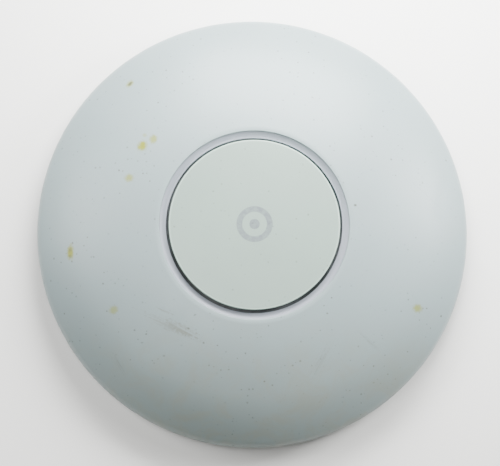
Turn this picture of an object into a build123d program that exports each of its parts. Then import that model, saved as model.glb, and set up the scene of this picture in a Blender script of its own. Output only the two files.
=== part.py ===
from build123d import *
import os
from math import atan2, cos, degrees, hypot, radians, sin

# Round ceiling access point with its twist-on mounting bracket.
#
# Millimetres.  The ceiling plane is Z = 0, the domed face looks along +Z, the cable side is -Y
# and the disc's centre line is the Z axis.  Bodies: the bracket, its release lever, the access
# point itself, its reset button and the sliding cover of the side cable exit.

# ---- overall -----------------------------------------------------------------------------
RIM_R = 100.0
RIM_Z = 9.0
PARTING_Z = 7.0
WALL = 2.0

# ---- dome: three tangent arcs from the centre hole to the rim ---------------------------------
HOLE_R = 43.2
HOLE_Z = 34.7
SLOPES = (9.5, 21.0, 38.0, 90.0)
RIM_ROUND = 6.0

# ---- centre: light ring, cap, carrier ----------------------------------------------------------
RING_IN_R = 40.2
RING_OUT_R = 46.5
RING_LOW_Z = 32.8
RING_FLANGE_Z = 32.4
CAP_R = 38.9
CAP_EDGE_Z = 35.6
CAP_TOP_Z = 36.5
CARRIER_Z = (27.7, 29.5)
LED_BOARD_Z = (25.7, 26.7)
LED_R = 43.75
LED_ANGLES = [22.5 + 45.0 * k for k in range(8)]

# ---- base --------------------------------------------------------------------------------------
BACK_Z = 0.8
BACK_R = 84.0
FLARE_END = (99.2, 6.6)
RECESS_R = 58.2
RECESS_Z = 6.0
FLOOR_Z = 7.8
BAY_X = 20.0
BAY_Y = (-52.0, -8.0)
BAY_ROOF_Z = 18.6
CHANNEL_X = 8.0
CHANNEL_ROOF_Z = 6.2

# ---- bracket and bayonet -----------------------------------------------------------------------
PLATE_R = 54.6
PLATE_T = 2.4
CABLE_HOLE_R = 30.0
BOLT_R = 42.0
BOLT_HOLE_R = 2.3
BAYONET_ANGLES = (90.0, 210.0, 330.0)
BAYONET_HALF = 9.0
LUG_Z = (3.3, 5.1)
LEDGE_Z = (1.2, 3.0)
TWIST = 22.0

# ---- release lever -----------------------------------------------------------------------------
LEVER_X = -44.0
LEVER_PIVOT = (-15.0, 2.4)
LEVER_PIN_R = 0.8
PIN_CLEAR = 0.06
NOSE_Y = 10.5
NOSE_TOP = 5.2
NOSE_GAP = 0.4
LEVER_DIP = 3.08

# ---- electronics -------------------------------------------------------------------------------
BOARD_R = 66.0
BOARD_Z = (20.2, 21.8)
BOARD_SCREW_R = 61.5
BOARD_SCREW_ANGLES = (0.0, 90.0, 180.0, 248.0, 292.0)
HOUSING_SCREW_R = 72.0
HOUSING_SCREW_ANGLES = (22.5, 157.5, 202.5, 337.5)
CARRIER_SCREW_R = 52.5
CARRIER_SCREW_ANGLES = (30.0, 150.0, 270.0)
ANTENNA_ANGLES = (45.0, 135.0, 225.0, 315.0)
ANTENNA_R = 78.0
ANTENNA_TOP = 20.4
JACK_X = (-9.2, 9.2)
JACK_SIZE = (16.0, 16.0, 12.0)
RESET_XY = (28.0, -4.0)

os.makedirs("parts", exist_ok=True)


def save(name, *solids):
    """Write one node; several separate solids may share it."""
    pieces = []
    for item in solids:
        pieces.extend(item.solids())
    shape = pieces[0] if len(pieces) == 1 else Compound(pieces)
    export_step(shape, f"parts/{name}.step")


def block(x0, x1, y0, y1, z0, z1):
    """Box given by its six faces."""
    centre = Pos((x0 + x1) / 2, (y0 + y1) / 2, (z0 + z1) / 2)
    return centre * Box(x1 - x0, y1 - y0, z1 - z0)


def pad(x, y, w, d, z0, z1):
    """Box on a centre point."""
    return block(x - w / 2, x + w / 2, y - d / 2, y + d / 2, z0, z1)


def rod(x, y, r, z0, z1):
    """Upright cylinder."""
    return Pos(x, y, (z0 + z1) / 2) * Cylinder(r, z1 - z0)


def polar(r, angle):
    """Plan position at a radius and an angle in degrees."""
    return r * cos(radians(angle)), r * sin(radians(angle))


def lathe(edges, sweep_deg=360.0):
    """Turn an outline of edges in the radius-height plane about the Z axis."""
    face = make_face([Plane.XZ * edge for edge in edges])
    return revolve(face, Axis.Z, revolution_arc=sweep_deg)


def turned(points, sweep_deg=360.0):
    """Turn a straight-sided outline of (radius, height) points about the Z axis."""
    return lathe(Polyline(*points, close=True).edges(), sweep_deg)


def sector(r0, r1, z0, z1, middle, half):
    """Piece of a ring between two radii and two heights."""
    piece = turned([(r0, z0), (r1, z0), (r1, z1), (r0, z1)], 2 * half)
    return Rot(0, 0, middle - half) * piece


def around(piece, angles):
    """The same piece at several angles about the Z axis."""
    return [Rot(0, 0, a) * piece for a in angles]


def union(first, others):
    """Add a list of pieces to a first one."""
    for item in others:
        first = first + item
    return first


def cut(first, others):
    """Take a list of pieces away from a first one."""
    for item in others:
        first = first - item
    return first


# ---- dome outline ------------------------------------------------------------------------------
def dome_radii():
    """Radii of the two inner arcs that make the dome meet the rim."""
    s = [sin(radians(a)) for a in SLOPES]
    c = [cos(radians(a)) for a in SLOPES]
    run = RIM_R - HOLE_R - RIM_ROUND * (s[3] - s[2])
    drop = HOLE_Z - RIM_Z - RIM_ROUND * (c[2] - c[3])
    a, b = s[1] - s[0], s[2] - s[1]
    d, e = c[0] - c[1], c[1] - c[2]
    det = a * e - b * d
    return (run * e - b * drop) / det, (a * drop - run * d) / det, RIM_ROUND


def dome_arcs(inset):
    """The three arcs, moved inwards by the inset; returns the edges and both end points."""
    edges = []
    point = (HOLE_R, HOLE_Z)
    ends = []
    for radius, a0, a1 in zip(dome_radii(), SLOPES, SLOPES[1:]):
        cx = point[0] - radius * sin(radians(a0))
        cz = point[1] - radius * cos(radians(a0))
        edges.append(CenterArc((cx, cz), radius - inset, 90 - a0, a0 - a1))
        for a in (a0, a1):
            ends.append((cx + (radius - inset) * sin(radians(a)), cz + (radius - inset) * cos(radians(a))))
        point = (cx + radius * sin(radians(a1)), cz + radius * cos(radians(a1)))
    return edges, ends[0], ends[-1]


# ---- top shell ---------------------------------------------------------------------------------
outer_arcs, outer_start, outer_end = dome_arcs(0.0)
inner_arcs, inner_start, inner_end = dome_arcs(WALL)
shell_edges = list(outer_arcs)
shell_edges += [
    Line(outer_end, (RIM_R, PARTING_Z)),
    Line((RIM_R, PARTING_Z), (inner_end[0], PARTING_Z)),
    Line((inner_end[0], PARTING_Z), inner_end),
]
shell_edges += list(inner_arcs)
shell_edges += [Line(inner_start, (HOLE_R, HOLE_Z - WALL)), Line((HOLE_R, HOLE_Z - WALL), outer_start)]
top_shell = lathe(shell_edges) - rod(0, 0, HOLE_R, 20, 40)

# posts inside the dome, trimmed to its underside
room_arcs, room_start, room_end = dome_arcs(0.6 * WALL)
room_edges = list(room_arcs)
room_edges += Polyline(room_end, (room_end[0], 0), (0, 0), (0, room_start[1]), room_start).edges()
room = lathe(room_edges)
shell_boss = rod(HOUSING_SCREW_R, 0, 3.6, 9.2, 34.0) & room
top_shell = union(top_shell, around(shell_boss, HOUSING_SCREW_ANGLES))
top_shell = cut(top_shell, around(rod(HOUSING_SCREW_R, 0, 1.5, 9.0, 23.0), HOUSING_SCREW_ANGLES))
carrier_boss = rod(CARRIER_SCREW_R, 0, 3.0, CARRIER_Z[1], 34.0) & room
top_shell = union(top_shell, around(carrier_boss, CARRIER_SCREW_ANGLES))
top_shell = cut(top_shell, around(rod(CARRIER_SCREW_R, 0, 1.2, 29.0, 31.4), CARRIER_SCREW_ANGLES))
hole_edge = [
    e
    for e in top_shell.edges().filter_by(GeomType.CIRCLE)
    if abs(e.radius - HOLE_R) < 0.01 and e.center().Z > HOLE_Z - 0.2
]
top_shell = fillet(hole_edge, 0.4)
save("top_shell", top_shell)

# ---- light ring --------------------------------------------------------------------------------
ring_top = (HOLE_R - 0.1, HOLE_Z - 0.45)
cove_mid = (RING_IN_R + 1.5, RING_LOW_Z + 0.46)
ring_edges = [
    ThreePointArc(ring_top, cove_mid, (RING_IN_R, RING_LOW_Z)),
    Line((RING_IN_R, RING_LOW_Z), (RING_IN_R, CARRIER_Z[1])),
    Line((RING_IN_R, CARRIER_Z[1]), (RING_OUT_R, CARRIER_Z[1])),
    Line((RING_OUT_R, CARRIER_Z[1]), (RING_OUT_R, RING_FLANGE_Z - 0.6)),
    Line((RING_OUT_R, RING_FLANGE_Z - 0.6), (HOLE_R - 0.1, RING_FLANGE_Z)),
    Line((HOLE_R - 0.1, RING_FLANGE_Z), ring_top),
]
save("light_ring", lathe(ring_edges))

# ---- centre cap --------------------------------------------------------------------------------
CAP_BEVEL = 0.35
cap_edges = [
    ThreePointArc(
        (0, CAP_TOP_Z),
        ((CAP_R - CAP_BEVEL) / 2, CAP_TOP_Z - (CAP_TOP_Z - CAP_EDGE_Z) / 4),
        (CAP_R - CAP_BEVEL, CAP_EDGE_Z),
    )
]
cap_edges += Polyline(
    (CAP_R - CAP_BEVEL, CAP_EDGE_Z),
    (CAP_R, CAP_EDGE_Z - CAP_BEVEL),
    (CAP_R, 33.9),
    (38.4, 33.9),
    (38.4, CARRIER_Z[1]),
    (36.9, CARRIER_Z[1]),
    (36.9, 33.9),
    (0, 33.9),
    (0, CAP_TOP_Z),
).edges()
centre_cap = lathe(cap_edges)
clip = sector(35.4, 36.7, 26.7, 34.2, 0, 5.0) + sector(36.5, 37.6, 26.7, 27.6, 0, 5.0)
CLIP_ANGLES = (45.0, 135.0, 225.0, 315.0)
centre_cap = union(centre_cap, around(clip, CLIP_ANGLES))
save("centre_cap", centre_cap)

# ---- carrier -----------------------------------------------------------------------------------
carrier = turned([(0, CARRIER_Z[0]), (48, CARRIER_Z[0]), (48, CARRIER_Z[1]), (0, CARRIER_Z[1])])
ear = block(44, CARRIER_SCREW_R, -4.2, 4.2, *CARRIER_Z) + rod(CARRIER_SCREW_R, 0, 4.2, *CARRIER_Z)
carrier = union(carrier, around(ear, CARRIER_SCREW_ANGLES))
carrier = cut(carrier, around(rod(CARRIER_SCREW_R, 0, 1.4, 27, 30), CARRIER_SCREW_ANGLES))
carrier = cut(carrier, around(sector(42.0, 45.4, 27, 30, 0, 9.0), LED_ANGLES))
carrier = cut(carrier, around(sector(35.2, 37.9, 27, 30, 0, 6.0), CLIP_ANGLES))
carrier = cut(carrier, around(rod(18, 0, 6.0, 27, 30), (0, 60, 120, 180, 240, 300)))
PEG_ANGLES = (0.0, 120.0, 240.0)
peg = rod(LED_R, 0, 2.0, LED_BOARD_Z[1], 28.0) + rod(LED_R, 0, 1.2, 24.9, 28.0)
carrier = union(carrier, around(peg, PEG_ANGLES))
save("cap_carrier", carrier)

screw = rod(CARRIER_SCREW_R, 0, 2.6, 26.1, CARRIER_Z[0]) + rod(CARRIER_SCREW_R, 0, 1.18, 27.0, 31.2)
screw = screw - pad(CARRIER_SCREW_R, 0, 2.8, 0.6, 25.9, 26.8) - pad(CARRIER_SCREW_R, 0, 0.6, 2.8, 25.9, 26.8)
save("carrier_screws", *around(screw, CARRIER_SCREW_ANGLES))

# ---- ring light board --------------------------------------------------------------------------
led_low, led_high = LED_BOARD_Z
led_board = turned([(38.2, led_low), (47, led_low), (47, led_high), (38.2, led_high)])
led_board = cut(led_board, around(rod(LED_R, 0, 1.25, 25, 27), PEG_ANGLES))
save("led_board", led_board)
led = pad(LED_R, 0, 1.6, 3.2, LED_BOARD_Z[1], LED_BOARD_Z[1] + 0.8)
save("ring_leds", *around(led, LED_ANGLES))
led_socket = block(-3.6, 3.6, -45.0, -40.4, 23.7, LED_BOARD_Z[0])
main_socket = block(-3.6, 3.6, -22.5, -18.3, BOARD_Z[1], 24.2)
save("led_connectors", led_socket, main_socket)
led_route = FilletPolyline((0, -40.4, 24.7), (0, -34, 24.7), (0, -28.5, 23.0), (0, -22.5, 23.0), radius=3.0)
wire = sweep(Plane(origin=(0, -40.4, 24.7), z_dir=(0, 1, 0)) * Circle(0.45), path=led_route)
save("led_lead", *[Pos(x, 0, 0) * wire for x in (-1.8, 0, 1.8)])

# ---- base shell --------------------------------------------------------------------------------
flare_r = ((FLARE_END[0] - BACK_R) ** 2 + (FLARE_END[1] - BACK_Z) ** 2) / (2 * (FLARE_END[1] - BACK_Z))
flare_c = (BACK_R, BACK_Z + flare_r)


def flare_point(inset, r):
    """Point of the flare at a radius, with the wall's inset."""
    return r, flare_c[1] - ((flare_r - inset) ** 2 - (r - flare_c[0]) ** 2) ** 0.5


def flare_arc(inset, r_end):
    """Flare from the back face outwards."""
    start = flare_point(inset, BACK_R)
    middle = flare_point(inset, BACK_R + 0.55 * (r_end - BACK_R))
    return ThreePointArc(start, middle, flare_point(inset, r_end))


LIP_R = (96.2, 97.7)
LIP_Z = 9.4
base_edges = [
    Line((RECESS_R, BACK_Z), (BACK_R, BACK_Z)),
    flare_arc(0.0, FLARE_END[0]),
    Line(FLARE_END, (LIP_R[1], FLARE_END[1])),
    Line((LIP_R[1], FLARE_END[1]), (LIP_R[1], LIP_Z)),
    Line((LIP_R[1], LIP_Z), (LIP_R[0], LIP_Z)),
    Line((LIP_R[0], LIP_Z), flare_point(WALL, LIP_R[0])),
    flare_arc(WALL, LIP_R[0]),
]
base_edges += Polyline(
    (BACK_R, BACK_Z + WALL),
    (RECESS_R + 1.8, BACK_Z + WALL),
    (RECESS_R + 1.8, FLOOR_Z),
    (0, FLOOR_Z),
    (0, RECESS_Z),
    (RECESS_R, RECESS_Z),
    (RECESS_R, BACK_Z),
).edges()
base = lathe(base_edges)

envelope_edges = [flare_arc(0.0, FLARE_END[0])]
envelope_edges += Polyline(FLARE_END, (FLARE_END[0], 25), (0, 25), (0, BACK_Z), (BACK_R, BACK_Z)).edges()
envelope = lathe(envelope_edges)

# cable bay, side channel and their walls
walls = block(-BAY_X - 1.6, BAY_X + 1.6, BAY_Y[0] - 1.6, BAY_Y[1] + 1.6, RECESS_Z, BOARD_Z[0])
walls = walls + block(-CHANNEL_X - 2.6, CHANNEL_X + 2.6, -96, -59, BACK_Z, CHANNEL_ROOF_Z + 1.6)
walls = walls + block(-CHANNEL_X - 2.6, CHANNEL_X + 2.6, -60, -53, RECESS_Z, CHANNEL_ROOF_Z + 1.6)
base = base + (walls & envelope)
base = base - block(-BAY_X, BAY_X, BAY_Y[0], BAY_Y[1], 5.0, BAY_ROOF_Z)
base = base - block(-CHANNEL_X, CHANNEL_X, -101, BAY_Y[0] + 1, 0, CHANNEL_ROOF_Z)
RAIL_Z = (2.9, 4.3)
base = base - block(-CHANNEL_X - 1.1, CHANNEL_X + 1.1, -101, -62, *RAIL_Z)
for x in JACK_X:
    base = base - block(x - 8.2, x + 8.2, BAY_Y[1] - 0.2, BAY_Y[1] + 3, FLOOR_Z + 0.2, BOARD_Z[0] + 0.2)

# bosses
base_boss = rod(HOUSING_SCREW_R, 0, 4.6, BACK_Z, 9.2)
base = union(base, around(base_boss, HOUSING_SCREW_ANGLES))
base = cut(base, around(rod(HOUSING_SCREW_R, 0, 3.2, 0, 4.4), HOUSING_SCREW_ANGLES))
base = cut(base, around(rod(HOUSING_SCREW_R, 0, 1.7, 4, 10), HOUSING_SCREW_ANGLES))
board_boss = rod(BOARD_SCREW_R, 0, 3.2, 1.6, BOARD_Z[0]) + block(58.6, BOARD_SCREW_R, -1, 1, 1.6, 16)
base = union(base, around(board_boss, BOARD_SCREW_ANGLES))
base = cut(base, around(rod(BOARD_SCREW_R, 0, 1.25, 8.0, 21), BOARD_SCREW_ANGLES))
antenna_pad = block(ANTENNA_R - 4, ANTENNA_R + 4, -16, 16, BACK_Z, 4.2) & envelope
base = union(base, around(antenna_pad, ANTENNA_ANGLES))
SPREADER_POSTS = ((-30.0, 27.0), (30.0, 27.0), (0.0, 52.0))
for x, y in SPREADER_POSTS:
    base = base + rod(x, y, 3.0, 7.0, 17.2)
base = base + rod(*RESET_XY, 3.6, 7.0, 12.4)
base = base - rod(*RESET_XY, 1.55, 5, 13)

# bayonet ledges and the ramp that presses the release lever down as the unit turns
ledge = sector(55.2, RECESS_R + 0.4, *LEDGE_Z, 0, BAYONET_HALF)
base = union(base, around(ledge, BAYONET_ANGLES))
nose_r = hypot(LEVER_X, NOSE_Y)
nose_angle = degrees(atan2(NOSE_Y, LEVER_X))
ramp_start = (LEVER_X, NOSE_Y)
ramp_end = polar(nose_r, nose_angle - TWIST)
ramp_run = hypot(ramp_end[0] - ramp_start[0], ramp_end[1] - ramp_start[1])
ramp_dir = ((ramp_end[0] - ramp_start[0]) / ramp_run, (ramp_end[1] - ramp_start[1]) / ramp_run)
ramp_drop = (NOSE_Y - LEVER_PIVOT[0]) * sin(radians(LEVER_DIP))
slope = ramp_drop / ramp_run
ramp = sector(41.0, 47.0, 3.2, RECESS_Z + 0.4, nose_angle - 10.6, 14.5)
ramp_plane = Plane(
    origin=(ramp_start[0], ramp_start[1], NOSE_TOP + NOSE_GAP),
    x_dir=(ramp_dir[0], ramp_dir[1], -slope),
    z_dir=(slope * ramp_dir[0], slope * ramp_dir[1], 1),
)
ramp = ramp - ramp_plane * Pos(0, 0, -10) * Box(120, 120, 20)
base = base + ramp
save("base_shell", base)

# ---- rating label (left blank) -----------------------------------------------------------------
save("rating_label", block(-18, 18, 20, 40, RECESS_Z - 0.15, RECESS_Z))

# ---- housing screws ----------------------------------------------------------------------------
screw = rod(HOUSING_SCREW_R, 0, 2.8, 2.4, 4.4) + rod(HOUSING_SCREW_R, 0, 1.48, 4.0, 21.0)
screw = screw - pad(HOUSING_SCREW_R, 0, 3.2, 0.7, 2, 3.5) - pad(HOUSING_SCREW_R, 0, 0.7, 3.2, 2, 3.5)
save("housing_screws", *around(screw, HOUSING_SCREW_ANGLES))

# ---- main board --------------------------------------------------------------------------------
board = rod(0, 0, BOARD_R, *BOARD_Z)
board = cut(board, around(rod(BOARD_SCREW_R, 0, 1.6, 20, 22), BOARD_SCREW_ANGLES))
board = cut(board, around(rod(BOARD_R + 1.5, 0, 3.6, 20, 22), (30.0, 150.0, 210.0, 330.0)))
save("main_board", board)
screw = rod(BOARD_SCREW_R, 0, 2.6, BOARD_Z[1], 23.4) + rod(BOARD_SCREW_R, 0, 1.22, 10.0, 22.0)
screw = screw - pad(BOARD_SCREW_R, 0, 3.0, 0.6, 22.6, 23.6) - pad(BOARD_SCREW_R, 0, 0.6, 3.0, 22.6, 23.6)
save("board_screws", *around(screw, BOARD_SCREW_ANGLES))


def can(x, y, w, d):
    """Pressed shielding lid, open below."""
    lid = pad(x, y, w, d, BOARD_Z[1], BOARD_Z[1] + 3.0)
    lid = fillet(lid.edges().filter_by(Axis.Z), 1.2)
    return lid - pad(x, y, w - 0.7, d - 0.7, BOARD_Z[1] - 1, BOARD_Z[1] + 2.65)


TOP = BOARD_Z[1]
LOW = BOARD_Z[0]
save("processor_shield", can(0, 34, 34, 26))
save("radio_shields", can(-38, 22, 26, 24), can(38, 22, 26, 24))
save("processor_chip", pad(-7, 34, 15, 15, TOP, TOP + 1.4))
save("memory_chips", pad(9, 39, 12, 8, TOP, TOP + 1.1), pad(9, 29, 12, 8, TOP, TOP + 1.1))
radio_chips = [pad(x, 22, 10, 10, TOP, TOP + 1.0) for x in (-38, 38)]
radio_chips += [pad(x, y, 4, 4, TOP, TOP + 0.9) for x in (-46, 46) for y in (15, 29)]
save("radio_chips", *radio_chips)
save("switch_chip", pad(0, 4, 9, 9, TOP, TOP + 1.0))
save("crystals", pad(-14, 5, 3.2, 2.5, TOP, TOP + 0.9), pad(14, 5, 3.2, 2.5, TOP, TOP + 0.9))
ceramic = [pad(-24 + 6 * k, 13, 2.0, 1.2, TOP, TOP + 1.2) for k in range(9)]
ceramic += [pad(x, y, 2.0, 1.2, TOP, TOP + 1.2) for x in (-30, 30) for y in (-8, -14, -20, -26)]
save("ceramic_capacitors", *ceramic)
small = [pad(-12 + 3 * i, -6 - 2.2 * j, 1.6, 0.8, TOP, TOP + 0.5) for i in range(9) for j in range(4)]
small += [pad(x, y, 0.8, 1.6, TOP, TOP + 0.5) for x in (-52, -49, 49, 52) for y in (-4, -10, -16, -22)]
save("resistors", *small)

# under the board: power supply on the -X side, network parts behind the jacks
save("power_transformer", pad(-35, 6, 15, 13, LOW - 9.0, LOW))
save("power_inductors", *[pad(-33, y, 8, 8, LOW - 4.5, LOW) for y in (-14, -25, -36)])
save("electrolytic_capacitors", *[rod(-46, y, 4.5, LOW - 9.8, LOW) for y in (-10, -22)])
save("network_transformers", *[pad(x, 14, 15, 7, LOW - 4.2, LOW) for x in JACK_X])

# ---- heat spreader and pads --------------------------------------------------------------------
spreader = block(-42, 42, 21, 58, 17.2, 18.7) & rod(0, 0, 58, 17, 19)
spreader = spreader + block(-40, 40, 21, 22.5, 10.5, 18.0)
spreader = cut(spreader, [rod(x, 44, 2.0, 17, 19) for x in (-18, 18)])
save("heat_spreader", spreader)
pads = [pad(-7, 34, 17, 17, 18.7, LOW), pad(-33, 30, 10, 10, 18.7, LOW), pad(33, 30, 10, 10, 18.7, LOW)]
save("thermal_pads", *pads)

# ---- network jacks -----------------------------------------------------------------------------
jacks = []
contacts = []
for x in JACK_X:
    y0 = BAY_Y[1]
    z0 = LOW - JACK_SIZE[2]
    jack = pad(x, y0 + JACK_SIZE[1] / 2, *JACK_SIZE[:2], z0, LOW)
    jack = jack - block(x - 5.95, x + 5.95, y0 - 1, y0 + 12.5, z0 + 1.9, z0 + 9.1)
    jack = jack - block(x - 3.2, x + 3.2, y0 - 1, y0 + 9.0, z0 + 0.9, z0 + 2.0)
    jack = jack - block(x - 4.6, x + 4.6, y0 - 1, y0 + 11.0, z0 + 8.9, z0 + 9.8)
    jacks.append(jack)
    for k in range(8):
        cx = x + 1.02 * (k - 3.5)
        contacts.append(block(cx - 0.25, cx + 0.25, y0 + 2.0, y0 + 11.0, z0 + 9.3, z0 + 9.8))
save("network_jacks", *jacks)
save("jack_contacts", *contacts)

# ---- reset button ------------------------------------------------------------------------------
switch = pad(*RESET_XY, 6, 6, 16.9, LOW) - rod(*RESET_XY, 1.75, 16, 18.4)
save("reset_switch", switch)
save("switch_actuator", rod(*RESET_XY, 1.7, 15.9, 17.8))
plunger = rod(*RESET_XY, 1.5, 6.3, 15.9) + rod(*RESET_XY, 2.4, 13.0, 14.2)
save("reset_plunger", plunger)

# ---- antennas ----------------------------------------------------------------------------------
holder = block(ANTENNA_R - 3.5, ANTENNA_R + 3.5, -15, 15, 4.2, 8.0)
holder = holder - block(ANTENNA_R - 0.55, ANTENNA_R + 0.55, -14.1, 14.1, 5.6, 9)
save("antenna_holders", *around(holder, ANTENNA_ANGLES))
plate = block(ANTENNA_R - 0.5, ANTENNA_R + 0.5, -14, 14, 5.7, ANTENNA_TOP)
save("antenna_boards", *around(plate, ANTENNA_ANGLES))
X0 = ANTENNA_R - 0.62
X1 = ANTENNA_R - 0.5
trace = block(X0, X1, -12, 12, ANTENNA_TOP - 2.8, ANTENNA_TOP - 0.8)
trace = trace + block(X0, X1, -12, -10.4, 9.6, ANTENNA_TOP - 1)
trace = trace + block(X0, X1, -4.2, -2.6, 9.6, ANTENNA_TOP - 2) + block(X0, X1, -13, 13, 8.4, 11.0)
save("antenna_traces", *around(trace, ANTENNA_ANGLES))
PLUG_X = 61.2
FEED_Y = -3.4
FEED_Z = 14.6
route = FilletPolyline(
    (X0, FEED_Y, FEED_Z),
    (ANTENNA_R - 4.5, FEED_Y, FEED_Z),
    (70.0, FEED_Y, 22.9),
    (PLUG_X + 1.5, FEED_Y, 22.9),
    radius=2.4,
)
coax = sweep(Plane(origin=(X0, FEED_Y, FEED_Z), z_dir=(-1, 0, 0)) * Circle(0.55), path=route)
save("antenna_leads", *around(coax, ANTENNA_ANGLES))
save("antenna_plugs", *around(rod(PLUG_X, FEED_Y, 1.5, TOP, 23.7), ANTENNA_ANGLES))

# ---- sliding cover of the side cable exit ------------------------------------------------------
skin_edges = [flare_arc(0.0, 98.4), flare_arc(WALL, 96.6)]
skin_edges += [Line(flare_point(0.0, 98.4), flare_point(WALL, 96.6))]
flat_z = BACK_Z + WALL
skin_edges += Polyline((BACK_R, flat_z), (60.5, flat_z), (60.5, BACK_Z), (BACK_R, BACK_Z)).edges()
skin = lathe(skin_edges)
cover = skin & block(-CHANNEL_X + 0.3, CHANNEL_X - 0.3, -99, -66, 0, CHANNEL_ROOF_Z - 0.3)
for side in (-1, 1):
    fin = block(6.2, 7.7, -87, -68, 2.4, 4.9)
    fin = fin + block(7.5, 8.85, -87, -68, RAIL_Z[0] + 0.25, RAIL_Z[1] - 0.25)
    cover = cover + (fin if side > 0 else mirror(fin, about=Plane.YZ))
cover = cover + block(-5.0, 5.0, -90.5, -89.3, 2.4, 5.4)
save("port_cover", cover)

# ---- mounting bracket --------------------------------------------------------------------------
bracket = turned([(CABLE_HOLE_R, 0), (PLATE_R, 0), (PLATE_R, PLATE_T), (CABLE_HOLE_R, PLATE_T)])
bracket = bracket + turned([(51.5, 1), (54.0, 1), (54.0, LUG_Z[1]), (51.5, LUG_Z[1])])
bracket = bracket + turned([(CABLE_HOLE_R, 1), (31.8, 1), (31.8, 4.4), (CABLE_HOLE_R, 4.4)])
bracket = bracket - sector(50.5, 55.5, PLATE_T, 6, 281.0, 23.0)
lug = sector(53.6, 57.6, *LUG_Z, 0, BAYONET_HALF)
stop = sector(53.6, 57.6, 0, LUG_Z[1], -BAYONET_HALF - 2.0, 1.5) + sector(53.6, 57.6, *LUG_Z, -9.2, 1.0)
bracket = union(bracket, around(lug + stop, BAYONET_ANGLES))
rib = block(31, 52, -0.8, 0.8, 1, 4.2)
bracket = union(bracket, around(rib, (0.0, 22.5, 67.5, 112.5, 225.0 - 22.5, 315.0 + 22.5)))
bracket = bracket - block(-48.4, -39.6, -18.4, 15.0, -1, 6)
bracket = bracket - sector(51.4, 55.5, PLATE_T, 6, 180.0 - 3.0, 18.0)
for x0, x1 in ((-51.5, -48.0), (-40.0, -36.5)):
    bracket = bracket + block(x0, x1, -17.4, -12.6, 0, 4.4)
bracket = bracket - block(-48.0, -40.0, -18.4, 15.0, -1, 6)
pin_bore = Pos(LEVER_X, *LEVER_PIVOT) * Rot(0, 90, 0) * Cylinder(LEVER_PIN_R + PIN_CLEAR, 14.2)
bracket = bracket - pin_bore
bolt_holes = [rod(*polar(BOLT_R, a), BOLT_HOLE_R, -1, 5) for a in (45.0, 135.0, 225.0, 315.0)]
bracket = cut(bracket, bolt_holes)
save("mounting_bracket", bracket)

# ---- release lever -----------------------------------------------------------------------------
lever = block(-47.2, -40.8, LEVER_PIVOT[0], 13.0, 1.9, 3.1)
lever = lever + Pos(LEVER_X, *LEVER_PIVOT) * Rot(0, 90, 0) * Cylinder(1.5, 6.4)
nose_points = [(8.5, 2.8), (12.6, 2.8), (12.6, 4.6), (12.0, NOSE_TOP), (9.4, NOSE_TOP), (8.5, 4.0)]
nose_outline = Polyline(*nose_points, close=True)
nose = extrude(make_face(Plane.YZ * nose_outline), amount=2.2, both=True)
lever = lever + Pos(LEVER_X, 0, 0) * nose
lever = lever + Pos(LEVER_X, *LEVER_PIVOT) * Rot(0, 90, 0) * Cylinder(LEVER_PIN_R, 13.6)
save("release_lever", lever)
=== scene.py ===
import math

import bmesh
import bpy
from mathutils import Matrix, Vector


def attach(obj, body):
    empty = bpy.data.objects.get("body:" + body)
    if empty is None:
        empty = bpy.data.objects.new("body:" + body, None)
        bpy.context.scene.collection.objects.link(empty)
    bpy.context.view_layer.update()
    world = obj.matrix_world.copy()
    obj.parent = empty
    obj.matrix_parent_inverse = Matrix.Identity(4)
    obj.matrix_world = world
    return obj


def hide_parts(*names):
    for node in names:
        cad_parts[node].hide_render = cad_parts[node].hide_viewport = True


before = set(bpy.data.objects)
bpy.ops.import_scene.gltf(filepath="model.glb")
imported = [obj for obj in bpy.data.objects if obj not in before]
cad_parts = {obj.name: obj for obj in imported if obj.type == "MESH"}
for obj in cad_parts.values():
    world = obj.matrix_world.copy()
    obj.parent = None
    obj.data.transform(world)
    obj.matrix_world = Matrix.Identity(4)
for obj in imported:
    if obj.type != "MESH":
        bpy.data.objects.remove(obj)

bl_info = {
    "name": "Ceiling access point",
    "version": (1, 0, 0),
    "blender": (4, 2, 0),
    "location": "View3D > Sidebar > Access point",
    "description": "Builds the visible pieces, finishes and stage of a round ceiling access point",
    "category": "Object",
}

MM = 0.001
SHARP_ANGLE = math.radians(32.0)
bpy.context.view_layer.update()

# Old stains on the top shell, in plan: x, y, length, width in millimetres, turn in degrees, strength.
STAINS = (
    (-57, 68, 4.8, 3.2, 45, 0.70),
    (-51, 37, 6.0, 5.0, 60, 1.00),
    (-46, 40, 5.0, 4.2, 70, 0.78),
    (-50, 42, 2.8, 2.2, 0, 0.40),
    (-57, 22, 4.8, 4.2, 0, 0.75),
    (-84, -11, 8.0, 3.6, 90, 1.00),
    (-64, -38, 5.0, 4.4, 0, 0.60),
    (75, -37, 5.2, 4.6, 0, 0.75),
)
# Dark crumbs: x, y, length, width, turn, strength.
CRUMBS = (
    (-57, 68, 2.8, 1.6, 45, 0.80),
    (-84, -10, 2.4, 1.8, 90, 0.42),
    (-84, -13, 2.2, 1.7, 90, 0.38),
    (-30, -47, 2.0, 1.0, -30, 0.55),
    (-27, -41, 1.6, 1.0, 20, 0.45),
    (-51, -53, 1.4, 0.8, 0, 0.40),
    (-41, -59, 1.4, 1.0, 0, 0.40),
    (46, 9, 1.5, 1.2, 0, 0.90),
    (78, 21, 1.6, 0.8, 80, 0.50),
)
# Scuffed bands made of fine parallel streaks: x, y, length, width, turn, strength.
SCUFFS = (
    (-38, -46, 34, 4.6, -24, 0.34),
    (-33, -47, 18, 4.4, -28, 0.42),
    (-40, -39, 9, 1.6, -24, 0.42),
    (30, -62, 16, 6.0, 62, 0.20),
    (52, -52, 14, 2.4, -42, 0.24),
    (-62, -62, 12, 3.0, -58, 0.20),
)

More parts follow.
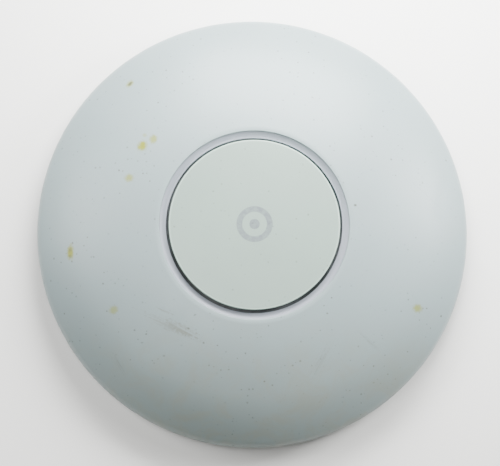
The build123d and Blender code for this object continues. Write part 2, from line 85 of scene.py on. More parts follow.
# Colours of what has settled on the plastic or worn into it, and of a tint laid on towards the near edge.
SPECK_COLOR = (0.06, 0.06, 0.05)
HAIR_COLOR = (0.13, 0.13, 0.12)
NEAR_EDGE_COLOR = (0.258, 0.246, 0.162)
SCUFF_COLOR = (0.125, 0.120, 0.085)
CRUMB_COLOR = (0.055, 0.055, 0.035)

# Soft lamps round the far side of the table: name, place, aim, width, depth, share of the power.
LAMPS = (
    ("far_lamp", (0.04, 0.245, 0.185), (0.01, 0.08, 0.0), 0.26, 0.15, 0.40),
    ("high_lamp", (0.10, 0.22, 0.34), (0.0, 0.03, 0.0), 0.20, 0.20, 0.08),
    ("right_lamp", (0.36, 0.12, 0.22), (0.0, 0.02, 0.0), 0.16, 0.16, 0.27),
    ("left_lamp", (-0.36, 0.08, 0.28), (0.0, 0.0, 0.0), 0.20, 0.20, 0.13),
    ("over_lamp", (-0.12, -0.08, 0.60), (0.0, 0.0, 0.0), 0.25, 0.25, 0.12),
)


# ---- sizes and colours a user may change ----
class AccessPointShape(bpy.types.PropertyGroup):
    rim_radius: bpy.props.FloatProperty(
        name="Rim radius", description="Largest radius of the disc", default=0.1, unit="LENGTH"
    )
    rim_height: bpy.props.FloatProperty(
        name="Rim height",
        description="Height of the widest line over the ceiling",
        default=0.009, unit="LENGTH",
    )
    parting_height: bpy.props.FloatProperty(
        name="Parting height",
        description="Lower edge of the top shell",
        default=0.007, unit="LENGTH",
    )
    hole_radius: bpy.props.FloatProperty(
        name="Centre hole",
        description="Radius of the hole round the light ring",
        default=0.0432, unit="LENGTH",
    )
    hole_height: bpy.props.FloatProperty(
        name="Hole height", description="Height of the hole's edge", default=0.0347, unit="LENGTH"
    )
    wall: bpy.props.FloatProperty(
        name="Wall", description="Thickness of the shell", default=0.002, unit="LENGTH"
    )
    cap_radius: bpy.props.FloatProperty(
        name="Cap radius", description="Radius of the centre cap", default=0.0389, unit="LENGTH"
    )
    cap_edge: bpy.props.FloatProperty(
        name="Cap edge", description="Height of the cap's edge", default=0.0356, unit="LENGTH"
    )
    cap_top: bpy.props.FloatProperty(
        name="Cap top", description="Height of the cap's centre", default=0.0365, unit="LENGTH"
    )
    ring_radius: bpy.props.FloatProperty(
        name="Ring radius",
        description="Inner radius of the light ring",
        default=0.0402, unit="LENGTH",
    )
    ring_low: bpy.props.FloatProperty(
        name="Cove foot",
        description="Height where the ring's cove ends",
        default=0.0328, unit="LENGTH",
    )
    steps: bpy.props.IntProperty(
        name="Steps", description="Segments round the disc", default=256, min=24
    )


class AccessPointLook(bpy.types.PropertyGroup):
    shell: bpy.props.FloatVectorProperty(
        name="Shell",
        description="Colour of the top shell",
        subtype="COLOR", size=3, default=(0.236, 0.301, 0.311),
    )
    cap: bpy.props.FloatVectorProperty(
        name="Cap",
        description="Colour of the centre cap",
        subtype="COLOR", size=3, default=(0.238, 0.315, 0.278),
    )
    ring: bpy.props.FloatVectorProperty(
        name="Ring",
        description="Colour of the unlit ring",
        subtype="COLOR", size=3, default=(0.26, 0.285, 0.33),
    )
    base: bpy.props.FloatVectorProperty(
        name="Base",
        description="Colour of base and bracket",
        subtype="COLOR", size=3, default=(0.28, 0.31, 0.32),
    )
    mark: bpy.props.FloatVectorProperty(
        name="Mark",
        description="Colour of the mark on the cap",
        subtype="COLOR", size=3, default=(0.140, 0.168, 0.182),
    )
    stain: bpy.props.FloatVectorProperty(
        name="Stain",
        description="Colour of old stains",
        subtype="COLOR", size=3, default=(0.205, 0.225, 0.022),
    )
    wear: bpy.props.FloatProperty(
        name="Wear",
        description="Strength of specks, stains and scratches",
        default=1.0, min=0, max=2, subtype="FACTOR",
    )
    table: bpy.props.FloatVectorProperty(
        name="Table",
        description="Colour of the table top",
        subtype="COLOR", size=3, default=(0.83, 0.835, 0.82),
    )


class AccessPointStage(bpy.types.PropertyGroup):
    distance: bpy.props.FloatProperty(
        name="Distance", description="Camera to the disc's centre", default=1.0, unit="LENGTH"
    )
    tilt: bpy.props.FloatProperty(
        name="Tilt",
        description="Camera's lean from straight above",
        default=math.radians(7.6), unit="ROTATION",
    )
    sideways: bpy.props.FloatProperty(
        name="Sideways",
        description="Camera's lean to the left",
        default=math.radians(1.75), unit="ROTATION",
    )
    aim: bpy.props.FloatVectorProperty(
        name="Aim",
        description="Point the camera looks at",
        subtype="XYZ", size=3, default=(-0.0014, -0.0011, 0.014),
    )
    lens: bpy.props.FloatProperty(
        name="Lens", description="Focal length in millimetres", default=155.4
    )
    lamp_power: bpy.props.FloatProperty(
        name="Lamps", description="Power of all lamps together in watts", default=11.4
    )
    fill_power: bpy.props.FloatProperty(
        name="Fill", description="Strength of the light from all round", default=0.10
    )


# ---- mesh helpers ----
def arc(cx, cz, radius, a0, a1, steps):
    """Points of an arc; angles in degrees measured from the radius axis."""
    found = []
    for i in range(steps + 1):
        a = math.radians(a0 + (a1 - a0) * i / steps)
        found.append((cx + radius * math.cos(a), cz + radius * math.sin(a)))
    return found


def add_lathe(bm, outline, steps):
    """Turn a closed outline of (radius, height) about Z into the mesh."""
    rings = []
    for r, z in outline:
        if r < 1e-7:
            rings.append([bm.verts.new((0, 0, z))])
            continue
        ring = []
        for k in range(steps):
            a = 2 * math.pi * k / steps
            ring.append(bm.verts.new((r * math.cos(a), r * math.sin(a), z)))
        rings.append(ring)
    for low, high in zip(rings, rings[1:] + rings[:1]):
        if len(low) == 1 and len(high) == 1:
            continue
        for k in range(steps):
            n = (k + 1) % steps
            if len(low) == 1:
                bm.faces.new((low[0], high[n], high[k]))
            elif len(high) == 1:
                bm.faces.new((low[k], low[n], high[0]))
            else:
                bm.faces.new((low[k], low[n], high[n], high[k]))


def add_tube(bm, x, y, r_in, r_out, z0, z1, steps=32):
    """Upright tube, open through the middle."""
    start = len(bm.verts)
    outline = [(r_in, z0), (r_out, z0), (r_out, z1), (r_in, z1)]
    add_lathe(bm, outline, steps)
    bm.verts.ensure_lookup_table()
    for v in bm.verts[start:]:
        v.co.x += x
        v.co.y += y


def add_block(bm, x0, x1, y0, y1, z0, z1, bevel):
    """Box with evenly rounded edges."""
    made = bmesh.ops.create_cube(bm, size=1.0)["verts"]
    for v in made:
        v.co.x = x0 if v.co.x < 0 else x1
        v.co.y = y0 if v.co.y < 0 else y1
        v.co.z = z0 if v.co.z < 0 else z1
    edges = {e for v in made for e in v.link_edges}
    bmesh.ops.bevel(bm, geom=list(edges), offset=bevel, segments=2, affect="EDGES", profile=0.5)


def finish_mesh(name, bm, material):
    """Object from the mesh, smooth but for edges over the sharp angle."""
    bmesh.ops.remove_doubles(bm, verts=bm.verts, dist=1e-7)
    bmesh.ops.recalc_face_normals(bm, faces=bm.faces)
    for face in bm.faces:
        face.smooth = True
    for edge in bm.edges:
        if len(edge.link_faces) == 2 and edge.calc_face_angle(0.0) > SHARP_ANGLE:
            edge.smooth = False
    mesh = bpy.data.meshes.new(name)
    bm.to_mesh(mesh)
    bm.free()
    obj = bpy.data.objects.new(name, mesh)
    bpy.context.scene.collection.objects.link(obj)
    obj.data.materials.append(material)
    return obj


def settle(obj, body, node):
    """Put a finished piece on its body, in place of the solid it stands for."""
    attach(obj, body)
    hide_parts(node)


def dress(nodes, material):
    """Give solids from the frame a finish."""
    for node in nodes:
        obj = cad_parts[node]
        obj.data.materials.clear()
        obj.data.materials.append(material)


# ---- material helpers ----
class Tree:
    """A material's node tree with short ways to add and join nodes."""

    def __init__(self, name):
        self.material = bpy.data.materials.new(name)
        self.material.use_nodes = True
        self.nodes = self.material.node_tree.nodes
        self.links = self.material.node_tree.links
        self.nodes.clear()
        self.out = self.nodes.new("ShaderNodeOutputMaterial")
        self.shader = self.nodes.new("ShaderNodeBsdfPrincipled")
        self.links.new(self.shader.outputs[0], self.out.inputs[0])
        self.place = self.nodes.new("ShaderNodeTexCoord").outputs["Object"]

    def set(self, socket, value):
        """Plug a socket in, or set it to a plain value."""
        target = self.shader.inputs[socket]
        if isinstance(value, bpy.types.NodeSocket):
            self.links.new(value, target)
        elif hasattr(target.default_value, "__len__") and len(target.default_value) == 4:
            target.default_value = (*value, 1.0)
        else:
            target.default_value = value

    def feed(self, node, index, value):
        """Same for any node."""
        target = node.inputs[index]
        if isinstance(value, bpy.types.NodeSocket):
            self.links.new(value, target)
        elif hasattr(target.default_value, "__len__"):
            size = len(target.default_value)
            target.default_value = tuple(value)[:size] if len(value) >= size else (*value, 1.0)
        else:
            target.default_value = value

    def math(self, operation, a, b, clamp=False):
        node = self.nodes.new("ShaderNodeMath")
        node.operation = operation
        node.use_clamp = clamp
        self.feed(node, 0, a)
        self.feed(node, 1, b)
        return node.outputs[0]

    def length(self, vector):
        node = self.nodes.new("ShaderNodeVectorMath")
        node.operation = "LENGTH"
        self.links.new(vector, node.inputs[0])
        return node.outputs["Value"]

    def ramp(self, value, low, high, to_low=0.0, to_high=1.0):
        node = self.nodes.new("ShaderNodeMapRange")
        node.interpolation_type = "SMOOTHSTEP"
        node.clamp = True
        for index, item in enumerate((value, low, high, to_low, to_high)):
            self.feed(node, index, item)
        return node.outputs[0]

    def stretch(self, scale=(1.0, 1.0, 1.0), turn=(0.0, 0.0, 0.0), move=(0.0, 0.0, 0.0), source=None):
        node = self.nodes.new("ShaderNodeMapping")
        self.links.new(source or self.place, node.inputs["Vector"])
        node.inputs["Location"].default_value = move
        node.inputs["Rotation"].default_value = turn
        node.inputs["Scale"].default_value = scale
        return node.outputs[0]

    def noise(self, scale, detail=3.0, rough=0.5, source=None, warp=0.0):
        node = self.nodes.new("ShaderNodeTexNoise")
        self.links.new(source or self.place, node.inputs["Vector"])
        node.inputs["Scale"].default_value = scale
        node.inputs["Detail"].default_value = detail
        node.inputs["Roughness"].default_value = rough
        node.inputs["Distortion"].default_value = warp
        return node.outputs[0]

    def cells(self, scale, feature="F1", source=None):
        node = self.nodes.new("ShaderNodeTexVoronoi")
        node.feature = feature
        self.links.new(source or self.place, node.inputs["Vector"])
        node.inputs["Scale"].default_value = scale
        return node

    def mix(self, factor, a, b):
        node = self.nodes.new("ShaderNodeMix")
        node.data_type = "RGBA"
        node.clamp_factor = True
        self.feed(node, 0, factor)
        self.feed(node, 6, a)
        self.feed(node, 7, b)
        return node.outputs[2]

    def bump(self, height, distance, strength, normal=None):
        node = self.nodes.new("ShaderNodeBump")
        node.inputs["Strength"].default_value = strength
        node.inputs["Distance"].default_value = distance
        self.links.new(height, node.inputs["Height"])
        if normal:
            self.links.new(normal, node.inputs["Normal"])
        return node.outputs[0]

    def round_edges(self, radius):
        node = self.nodes.new("ShaderNodeBevel")
        node.samples = 4
        node.inputs["Radius"].default_value = radius
        return node.outputs[0]


def spots(tree, scale, share, size, seed=0.0):
    """Scattered round specks: a share of the cells hold one, of uneven size."""
    source = tree.stretch(move=(seed, seed * 0.7, seed * 0.3))
    cells = tree.cells(scale, source=source)
    split = tree.nodes.new("ShaderNodeSeparateColor")
    tree.links.new(cells.outputs["Color"], split.inputs[0])
    chosen = tree.math("LESS_THAN", split.outputs[0], share)
    radius = tree.math("MULTIPLY", split.outputs[1], size)
    torn = tree.math("MULTIPLY", tree.noise(2200.0, 2.0), size * 0.9)
    reach = tree.math("ADD", radius, size * 0.45)
    away = tree.math("ADD", cells.outputs["Distance"], torn)
    inside = tree.math("SUBTRACT", reach, away)
    soft = tree.ramp(inside, 0.0, size * 0.5)
    return tree.math("MULTIPLY", soft, chosen)


def patch(tree, x, y, length, width, turn, ragged):
    """Mask of one ragged oval mark at a plan position."""
    source = tree.stretch(move=(-x * MM, -y * MM, 0))
    source = tree.stretch(turn=(0, 0, -math.radians(turn)), source=source)
    source = tree.stretch(scale=(2 / (length * MM), 2 / (width * MM), 0.0), source=source)
    reach = tree.length(source)
    edge = tree.math("MULTIPLY", tree.math("SUBTRACT", tree.noise(900.0, 2.0), 0.5), ragged * 4)
    return tree.ramp(tree.math("ADD", reach, edge), 1.2, 0.3)


def fine_scratches(tree, turn, share, seed):
    """Sparse hair lines in one direction."""
    source = tree.stretch(turn=(0, 0, turn), move=(seed, seed, 0))
    source = tree.stretch(scale=(18.0, 1400.0, 10.0), source=source)
    lines = tree.noise(1.0, 2.0, 0.6, source=source)
    where = tree.noise(26.0, 1.0, source=tree.stretch(move=(seed * 3, -seed, 0)))
    return tree.math("MULTIPLY", tree.ramp(lines, share, share + 0.05), tree.ramp(where, 0.52, 0.64))


def streaks(tree, x, y, length, width, turn, ragged):
    """Mask of a band of fine parallel streaks at a plan position."""
    source = tree.stretch(turn=(0, 0, -math.radians(turn)))
    source = tree.stretch(scale=(45.0, 1500.0, 0.0), source=source)
    lines = tree.ramp(tree.noise(1.0, 2.0, 0.6, source=source), 0.40, 0.62)
    return tree.math("MULTIPLY", patch(tree, x, y, length, width, turn, ragged), lines)


def add_marks(tree, shade, stain, wear):
    """Hair lines, a yellower, slightly darker tint towards the near edge, old stains, scuffs and crumbs
    over a plastic.
    """
    rising = fine_scratches(tree, 0.7, 0.70, 0.2)
    falling = fine_scratches(tree, -0.9, 0.71, 0.9)
    hair = tree.math("ADD", rising, falling, clamp=True)
    shade = tree.mix(tree.math("MULTIPLY", hair, 0.16 * wear), shade, HAIR_COLOR)
    place = tree.nodes.new("ShaderNodeSeparateXYZ")
    tree.links.new(tree.place, place.inputs[0])
    # Yellower, slightly darker tint in clouds, growing towards the near edge.
    toward_near_edge = tree.ramp(place.outputs[1], -0.03, -0.085)
    clouds = tree.ramp(tree.noise(70.0, 6.0, 0.72, warp=1.0), 0.42, 0.64, 0.30, 1.0)
    near_edge_tint = tree.math("MULTIPLY", tree.math("MULTIPLY", toward_near_edge, clouds), 0.34 * wear)
    shade = tree.mix(near_edge_tint, shade, NEAR_EDGE_COLOR)
    layers = ((STAINS, patch, 0.2, stain), (SCUFFS, streaks, 0.6, SCUFF_COLOR))
    layers += ((CRUMBS, patch, 0.2, CRUMB_COLOR),)
    for marks, shape, ragged, color in layers:
        for x, y, length, width, turn, strength in marks:
            mask = shape(tree, x, y, length, width, turn, ragged)
            shade = tree.mix(tree.math("MULTIPLY", mask, strength * wear), shade, color)
    return shade


def moulded(name, color, rough, wear, edges=0.0, marks=False, printed=None):
    """Fine-grained moulded plastic with dust, specks and, where wanted, stains and a printed mark; with
    the mark comes a painted highlight round the cap's edge.
    """
    look = bpy.context.scene.access_point_look
    tree = Tree(name)
    tone = tree.noise(14.0, 3.0, 0.55)
    dark = tuple(c * 0.955 for c in color)
    light = tuple(min(1.0, c * 1.03) for c in color)
    shade = tree.mix(tree.ramp(tone, 0.3, 0.7), dark, light)
    smudge = tree.ramp(tree.noise(38.0, 4.0, 0.65, warp=0.6), 0.55, 0.78)
    shade = tree.mix(tree.math("MULTIPLY", smudge, 0.10 * wear), shade, tuple(c * 0.7 for c in color))
    if printed:
        shade = tree.mix(printed(tree), shade, look.mark)
        # Painted highlight: a lighter band along the cap's outer edge, standing in for light caught by
        # its bevel.
        reach = tree.length(tree.stretch(scale=(1000.0, 1000.0, 0.0)))
        painted_edge_highlight = tree.math("MULTIPLY", tree.ramp(reach, 38.0, 38.6), 0.55)
        shade = tree.mix(painted_edge_highlight, shade, tuple(min(1.0, c * 1.9) for c in color))
    coarse = spots(tree, 300.0, 0.22, 0.20)
    fine = spots(tree, 560.0, 0.30, 0.34, 0.31)
    specks = tree.math("ADD", coarse, fine, clamp=True)
    clouds = tree.noise(34.0, 3.0, source=tree.stretch(move=(0.4, 0.1, 0.0)))
    dirty = tree.ramp(clouds, 0.40, 0.62, 0.25, 1.0)
    specks = tree.math("MULTIPLY", specks, dirty)
    shade = tree.mix(tree.math("MULTIPLY", specks, 0.70 * wear), shade, SPECK_COLOR)
    grain = tree.noise(2600.0, 2.0, 0.6)
    roughness = tree.ramp(smudge, 0.0, 1.0, rough, rough + 0.10)
    if marks:
        shade = add_marks(tree, shade, look.stain, wear)
    tree.set("Base Color", shade)
    tree.set("Roughness", roughness)
    tree.set("IOR", 1.47)
    normal = tree.round_edges(edges) if edges else None
    tree.set("Normal", tree.bump(grain, 0.00003, 0.35, normal))
    return tree.material


def metal(name, color, rough, brushed=False):
    """Plain or brushed metal with uneven polish and light tarnish."""
    tree = Tree(name)
    source = tree.stretch(scale=(60.0, 2200.0, 60.0) if brushed else (400.0, 400.0, 400.0))
    grain = tree.noise(1.0, 3.0, 0.6, source=source)
    tarnish = tree.ramp(tree.noise(160.0, 3.0, 0.6), 0.45, 0.75)
    tree.set("Base Color", tree.mix(tarnish, color, tuple(c * 0.72 for c in color)))
    tree.set("Metallic", 1.0)
    tree.set("Roughness", tree.ramp(grain, 0.2, 0.8, rough * 0.8, rough * 1.35))
    tree.set("Normal", tree.bump(grain, 0.00002, 0.3, tree.round_edges(0.0002)))
    return tree.material


def body_plastic(name, color, rough, edges=0.00015):
    """Small moulded part, chip body or film: even colour with faint mottling and a little grain."""
    tree = Tree(name)
    tone = tree.noise(220.0, 3.0, 0.6)
    dark = tuple(c * 0.82 for c in color)
    light = tuple(min(1.0, c * 1.15 + 0.004) for c in color)
    tree.set("Base Color", tree.mix(tree.ramp(tone, 0.3, 0.7), dark, light))
    tree.set("Roughness", tree.ramp(tree.noise(500.0, 2.0), 0.3, 0.7, rough - 0.06, rough + 0.08))
    normal = tree.round_edges(edges) if edges else None
    tree.set("Normal", tree.bump(tree.noise(3800.0, 2.0), 0.00002, 0.3, normal))
    return tree.material


def circuit_board(name, color):
    """Solder mask over faint copper tracks, with plated holes."""
    tree = Tree(name)
    cells = tree.cells(190.0, "DISTANCE_TO_EDGE", tree.stretch(scale=(1.0, 1.0, 0.0)))
    tracks = tree.ramp(cells.outputs["Distance"], 0.05, 0.08)
    blocks = tree.cells(42.0, "F1", tree.stretch(scale=(1.0, 1.0, 0.0)))
    poured = tree.ramp(blocks.outputs["Distance"], 0.42, 0.44)
    shade = tree.mix(tracks, tuple(c * 1.7 for c in color), color)
    shade = tree.mix(tree.math("MULTIPLY", poured, 0.5), shade, tuple(c * 1.35 for c in color))
    holes = spots(tree, 520.0, 0.20, 0.16, 0.13)
    tree.set("Base Color", tree.mix(holes, shade, (0.60, 0.52, 0.30)))
    tree.set("Metallic", tree.math("MULTIPLY", holes, 0.9))
    tree.set("Roughness", tree.ramp(tree.noise(300.0), 0.3, 0.7, 0.28, 0.40))
    tree.set("Normal", tree.bump(tracks, 0.00003, 0.5))
    return tree.material


def ring_plastic(name, color):
    """Frosted translucent light guide."""
    tree = Tree(name)
    tone = tree.noise(30.0, 2.0)
    tree.set("Base Color", tree.mix(tree.ramp(tone, 0.3, 0.7), tuple(c * 0.97 for c in color), color))
    tree.set("Roughness", tree.ramp(tree.noise(240.0, 3.0), 0.3, 0.7, 0.36, 0.48))
    tree.set("Subsurface Weight", 0.15)
    tree.set("Subsurface Radius", (0.0016, 0.0016, 0.0020))
    tree.set("Subsurface Scale", 1.0)
    tree.set("Normal", tree.bump(tree.noise(2400.0, 2.0), 0.00002, 0.3))
    return tree.material


def ring_and_dot(tree):
    """Printed mark on the cap: a plain ring with a dot."""
    flat = tree.stretch(scale=(1000.0, 1000.0, 0.0))
    reach = tree.length(flat)
    dot = tree.ramp(reach, 2.45, 2.25)
    ring = tree.math("MULTIPLY", tree.ramp(reach, 5.5, 5.7), tree.ramp(reach, 8.3, 8.1))
    worn = tree.ramp(tree.noise(700.0, 3.0, 0.7), 0.2, 0.7, 0.45, 1.0)
    return tree.math("MULTIPLY", tree.math("ADD", dot, ring, clamp=True), worn)


# ---- pieces ----
def dome_outline(shape, inset, steps):
    """Points down the dome from the hole's edge to the rim: three tangent arcs, moved in by the inset."""
    slopes = (9.5, 21.0, 38.0, 90.0)
    s = [math.sin(math.radians(a)) for a in slopes]
    c = [math.cos(math.radians(a)) for a in slopes]
    rim = 0.006
    run = shape.rim_radius - shape.hole_radius - rim * (s[3] - s[2])
    drop = shape.hole_height - shape.rim_height - rim * (c[2] - c[3])
    a, b, d, e = s[1] - s[0], s[2] - s[1], c[0] - c[1], c[1] - c[2]
    det = a * e - b * d
    radii = ((run * e - b * drop) / det, (a * drop - run * d) / det, rim)
    point = (shape.hole_radius, shape.hole_height)
    found = []
    for radius, a0, a1 in zip(radii, slopes, slopes[1:]):
        cx = point[0] - radius * math.sin(math.radians(a0))
        cz = point[1] - radius * math.cos(math.radians(a0))
        piece = arc(cx, cz, radius - inset, 90 - a0, 90 - a1, steps)
        found += piece if not found else piece[1:]
        point = (cx + radius * math.sin(math.radians(a1)), cz + radius * math.cos(math.radians(a1)))
    return found


def height_at(outline, r):
    """Height of an outline at a radius."""
    for (r0, z0), (r1, z1) in zip(outline, outline[1:]):
        if r0 <= r <= r1:
            return z0 + (z1 - z0) * (r - r0) / (r1 - r0)
    return outline[0][1] if r < outline[0][0] else outline[-1][1]


class AP_OT_top_shell(bpy.types.Operator):
    """Turn the domed top shell with its hole, rolled rim and inner posts"""

    bl_idname = "access_point.top_shell"
    bl_label = "Top shell"

    def execute(self, context):
        shape, look = context.scene.access_point_shape, context.scene.access_point_look
        bm = bmesh.new()
        outer = dome_outline(shape, 0.0, 14)
        inner = dome_outline(shape, shape.wall, 8)
        lip = 0.0004
        edge = arc(outer[0][0] + lip, outer[0][1] - lip, lip, 180, 92.5, 4)
        outer = [p for p in outer if p[0] > shape.hole_radius + lip]
        under = shape.parting_height
        foot = [(shape.rim_radius, under + 0.0003), (shape.rim_radius - 0.0003, under)]
        low = [(inner[-1][0], under)]
        start = [(shape.hole_radius, shape.hole_height - shape.wall)]
        add_lathe(bm, edge + outer + foot + low + inner[::-1] + start, shape.steps)
        middle = dome_outline(shape, 0.5 * shape.wall, 14)
        above = 2 * shape.hole_height
        # Hollow posts inside: reach from the axis, bearing, bore, outside radius, height of the foot.
        posts = [(0.072, a, 0.0015, 0.0036, 0.0092) for a in (22.5, 157.5, 202.5, 337.5)]
        posts += [(0.0525, a, 0.0012, 0.003, 0.0295) for a in (30.0, 150.0, 270.0)]
        for reach, angle, r_in, r_out, foot_z in posts:
            a = math.radians(angle)
            first = len(bm.verts)
            add_tube(bm, reach * math.cos(a), reach * math.sin(a), r_in, r_out, foot_z, above)
            bm.verts.ensure_lookup_table()
            for v in bm.verts[first:]:
                if v.co.z > shape.hole_height:
                    v.co.z = height_at(middle, math.hypot(v.co.x, v.co.y))
        finish = moulded("shell_plastic", look.shell, 0.40, look.wear, marks=True)
        obj = finish_mesh("top_shell_skin", bm, finish)
        settle(obj, "access_point", "top_shell")
        return {"FINISHED"}


class AP_OT_centre_cap(bpy.types.Operator):
    """Turn the centre cap with its bevelled edge, skirt and clips"""

    bl_idname = "access_point.centre_cap"
    bl_label = "Centre cap"

    def execute(self, context):
        shape, look = context.scene.access_point_shape, context.scene.access_point_look
        bm = bmesh.new()
        bevel = 0.0004
        under = 0.0339
        skirt_in, skirt_out, skirt_foot = 0.0369, 0.0384, 0.0295
        clip_half, clip_foot, clip_bevel = 0.0031, 0.0267, 0.0002
        rise = shape.cap_top - shape.cap_edge
        rim = shape.cap_radius - bevel
        outline = []
        for i in range(25):
            r = rim * i / 24
            outline.append((r, shape.cap_top - rise * (r / rim) ** 2))
        outline += arc(rim, shape.cap_edge - bevel, bevel, 82, 0, 6)
        outline += [(shape.cap_radius, under), (skirt_out, under - 0.0002), (skirt_out, skirt_foot)]
        outline += [(skirt_in, skirt_foot), (skirt_in, under), (0.0, under)]
        add_lathe(bm, outline, shape.steps)
        for quarter in range(4):
            bm.verts.ensure_lookup_table()
            first = len(bm.verts)
            add_block(bm, 0.0354, 0.0367, -clip_half, clip_half, clip_foot, 0.0340, clip_bevel)
            add_block(bm, 0.0364, 0.0375, -clip_half, clip_half, clip_foot, 0.0276, clip_bevel)
            bm.verts.ensure_lookup_table()
            turn = math.radians(45 + 90 * quarter)
            for v in bm.verts[first:]:
                x, y = v.co.x, v.co.y
                v.co.x = x * math.cos(turn) - y * math.sin(turn)
                v.co.y = x * math.sin(turn) + y * math.cos(turn)
        finish = moulded("cap_plastic", look.cap, 0.36, look.wear * 0.6, printed=ring_and_dot)
        obj = finish_mesh("centre_cap_skin", bm, finish)
        settle(obj, "access_point", "centre_cap")
        return {"FINISHED"}


class AP_OT_light_ring(bpy.types.Operator):
    """Turn the translucent cove round the cap"""

    bl_idname = "access_point.light_ring"
    bl_label = "Light ring"

    def execute(self, context):
        shape, look = context.scene.access_point_shape, context.scene.access_point_look
        bm = bmesh.new()
        top_r, top_z = shape.hole_radius - 0.0001, shape.hole_height - 0.00045
        outline = []
        for i in range(13):
            u = i / 12
            r = top_r - (top_r - shape.ring_radius) * u
            z = shape.ring_low + (top_z - shape.ring_low) * (1 - u) ** 1.8
            outline.append((r, z))
        foot, flange = 0.0295, 0.0465
        outline += [(shape.ring_radius, foot), (flange, foot), (flange, 0.0318), (top_r, 0.0324)]
        add_lathe(bm, outline, shape.steps)
        obj = finish_mesh("light_ring_cove", bm, ring_plastic("ring_diffuser", look.ring))
        settle(obj, "access_point", "light_ring")
        return {"FINISHED"}


class AP_OT_housing(bpy.types.Operator):
    """Finish the base, bracket, lever, cover, label and screws"""

    bl_idname = "access_point.housing"
    bl_label = "Base and bracket"

    def execute(self, context):
        look = context.scene.access_point_look
        housing = moulded("base_plastic", look.base, 0.42, 0.6, edges=0.0003)
        dress(("base_shell", "port_cover"), housing)
        tone = tuple(c * 0.98 for c in look.base)
        bracket = moulded("bracket_plastic", tone, 0.48, 0.4, edges=0.0003)
        dress(("mounting_bracket", "release_lever"), bracket)
        # The carrier is dark grey to deepen the narrow gap round the cap: painted shade in the gap.
        dress(("cap_carrier",), body_plastic("carrier_plastic", (0.075, 0.085, 0.090), 0.55))
        dress(("rating_label",), body_plastic("label_film", (0.78, 0.78, 0.75), 0.50))
        screws = metal("screw_steel", (0.56, 0.57, 0.58), 0.28)
        dress(("carrier_screws", "board_screws", "housing_screws"), screws)
        dress(("reset_plunger",), body_plastic("plunger_plastic", (0.50, 0.51, 0.52), 0.45))
        return {"FINISHED"}


class AP_OT_electronics(bpy.types.Operator):
    """Finish the boards, chips, lids, power parts, antennas and leads"""

    bl_idname = "access_point.electronics"
    bl_label = "Electronics"

    def execute(self, context):
        board = circuit_board("circuit_board", (0.012, 0.090, 0.045))
        dress(("main_board", "led_board", "antenna_boards"), board)
        chip = body_plastic("chip_epoxy", (0.018, 0.018, 0.020), 0.42)
        dress(("processor_chip", "memory_chips", "radio_chips", "switch_chip"), chip)
        tin = metal("shield_tin", (0.66, 0.66, 0.63), 0.32, brushed=True)
        dress(("processor_shield", "radio_shields"), tin)
        dress(("crystals",), metal("crystal_can", (0.72, 0.72, 0.70), 0.18))
        dress(("ring_leds",), body_plastic("led_lens", (0.80, 0.76, 0.50), 0.20))
        dress(("led_connectors",), body_plastic("connector_plastic", (0.70, 0.67, 0.56), 0.45))
        dress(("led_lead",), body_plastic("wire_insulation", (0.48, 0.03, 0.02), 0.42, 0.0))
        dress(("antenna_leads",), body_plastic("coax_jacket", (0.016, 0.016, 0.018), 0.45, 0.0))
        gold = metal("plug_metal", (0.83, 0.62, 0.25), 0.24)
        dress(("antenna_plugs", "antenna_traces", "jack_contacts"), gold)
        dress(("antenna_holders",), body_plastic("holder_plastic", (0.02, 0.02, 0.022), 0.5))
        dress(("ceramic_capacitors",), body_plastic("ceramic_brown", (0.24, 0.13, 0.06), 0.40))
        dress(("resistors",), body_plastic("resistor_black", (0.02, 0.02, 0.02), 0.35))
        dress(("power_transformer",), body_plastic("transformer_tape", (0.62, 0.40, 0.03), 0.30))
        dress(("power_inductors",), body_plastic("ferrite", (0.035, 0.035, 0.038), 0.55))
        dress(("electrolytic_capacitors",), metal("capacitor_can", (0.70, 0.71, 0.73), 0.30))
        case = body_plastic("network_transformer_case", (0.02, 0.02, 0.022), 0.40)
        dress(("network_transformers",), case)
        dress(("heat_spreader",), metal("spreader_metal", (0.74, 0.75, 0.77), 0.34, brushed=True))
        dress(("thermal_pads",), body_plastic("thermal_pad", (0.28, 0.36, 0.48), 0.70))
        dress(("network_jacks",), body_plastic("jack_plastic", (0.022, 0.022, 0.024), 0.42))
        dress(("reset_switch",), body_plastic("switch_body", (0.025, 0.025, 0.027), 0.42))
        dress(("switch_actuator",), body_plastic("switch_stem", (0.30, 0.02, 0.015), 0.40))
        return {"FINISHED"}


def table_top(color):
    """Wide plain table top, just under the unit."""
    bm = bmesh.new()
    bmesh.ops.create_grid(bm, x_segments=8, y_segments=8, size=1.6)
    for v in bm.verts:
        v.co.z = -0.0002
    tree = Tree("table_top")
    tone = tree.noise(9.0, 2.0)
    shade = tree.mix(tree.ramp(tone, 0.3, 0.7), tuple(c * 0.985 for c in color), color)
    tree.set("Base Color", shade)
    tree.set("Roughness", 0.55)
    return finish_mesh("table_top", bm, tree.material)


def soft_room(strength):
    """Even warm light from all round."""
    world = bpy.data.worlds.new("soft_room")
    world.use_nodes = True
    background = world.node_tree.nodes["Background"]
    background.inputs[0].default_value = (1.0, 0.96, 0.88, 1.0)
    background.inputs[1].default_value = strength
    return world


def soft_lamp(scene, name, place, target, width, depth, power):
    """Wide flat lamp turned towards a target."""
    light = bpy.data.lights.new(name, "AREA")
    light.shape = "RECTANGLE"
    light.size = width
    light.size_y = depth
    light.energy = power
    light.color = (1.0, 0.995, 0.985)
    lamp = bpy.data.objects.new(name, light)
    lamp.location = place
    lamp.rotation_euler = (Vector(target) - lamp.location).to_track_quat("-Z", "Y").to_euler()
    scene.collection.objects.link(lamp)
    return lamp


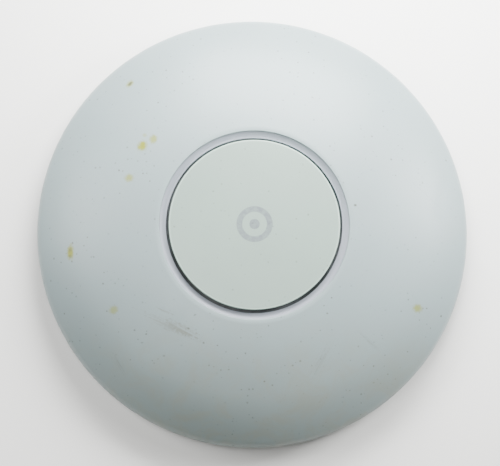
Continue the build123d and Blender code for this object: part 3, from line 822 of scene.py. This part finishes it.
def overhead_camera(scene, stage):
    """Camera leaning a little from straight above, with the table's edges square to the frame."""
    camera = bpy.data.objects.new("camera", bpy.data.cameras.new("camera"))
    camera.data.lens = stage.lens
    camera.data.sensor_width = 36.0
    camera.data.clip_start = 0.05
    camera.data.clip_end = 10.0
    lean = Vector((-math.sin(stage.sideways), -math.sin(stage.tilt), math.cos(stage.tilt)))
    lean.normalize()
    camera.location = Vector(stage.aim) + lean * stage.distance
    camera.rotation_mode = "QUATERNION"
    up = lean.cross(Vector((1.0, 0.0, 0.0))).normalized()
    side = up.cross(lean).normalized()
    matrix = camera.matrix_world.copy()
    for row in range(3):
        matrix[row][0] = side[row]
        matrix[row][1] = up[row]
        matrix[row][2] = lean[row]
        matrix[row][3] = camera.location[row]
    camera.matrix_world = matrix
    scene.collection.objects.link(camera)
    return camera


class AP_OT_stage(bpy.types.Operator):
    """Lay the table top and set the soft light and the camera"""

    bl_idname = "access_point.stage"
    bl_label = "Stage"

    def execute(self, context):
        scene, stage = context.scene, context.scene.access_point_stage
        floor = table_top(tuple(scene.access_point_look.table))
        scene.world = soft_room(stage.fill_power)
        for name, place, target, width, depth, share in LAMPS:
            power = stage.lamp_power * share
            soft_lamp(scene, name, place, target, width, depth, power)
        scene.camera = overhead_camera(scene, stage)
        return {"FINISHED"}


class AP_PT_panel(bpy.types.Panel):
    """Sizes, colours and the build steps"""

    bl_label = "Access point"
    bl_idname = "AP_PT_panel"
    bl_space_type = "VIEW_3D"
    bl_region_type = "UI"
    bl_category = "Access point"

    def draw(self, context):
        layout = self.layout
        for group in ("access_point_shape", "access_point_look", "access_point_stage"):
            settings = getattr(context.scene, group)
            box = layout.box()
            for key in settings.__annotations__:
                box.prop(settings, key)
        for step in STEPS:
            layout.operator(step.bl_idname)


GROUPS = (AccessPointShape, AccessPointLook, AccessPointStage)
STEPS = (
    AP_OT_top_shell,
    AP_OT_centre_cap,
    AP_OT_light_ring,
    AP_OT_housing,
    AP_OT_electronics,
    AP_OT_stage,
)


def register():
    for cls in GROUPS + STEPS + (AP_PT_panel,):
        bpy.utils.register_class(cls)
    bpy.types.Scene.access_point_shape = bpy.props.PointerProperty(type=AccessPointShape)
    bpy.types.Scene.access_point_look = bpy.props.PointerProperty(type=AccessPointLook)
    bpy.types.Scene.access_point_stage = bpy.props.PointerProperty(type=AccessPointStage)


def unregister():
    del bpy.types.Scene.access_point_stage
    del bpy.types.Scene.access_point_look
    del bpy.types.Scene.access_point_shape
    for cls in reversed(GROUPS + STEPS + (AP_PT_panel,)):
        bpy.utils.unregister_class(cls)


def main():
    register()
    for step in STEPS:
        group, name = step.bl_idname.split(".")
        getattr(getattr(bpy.ops, group), name)()


if __name__ == "__main__":
    main()
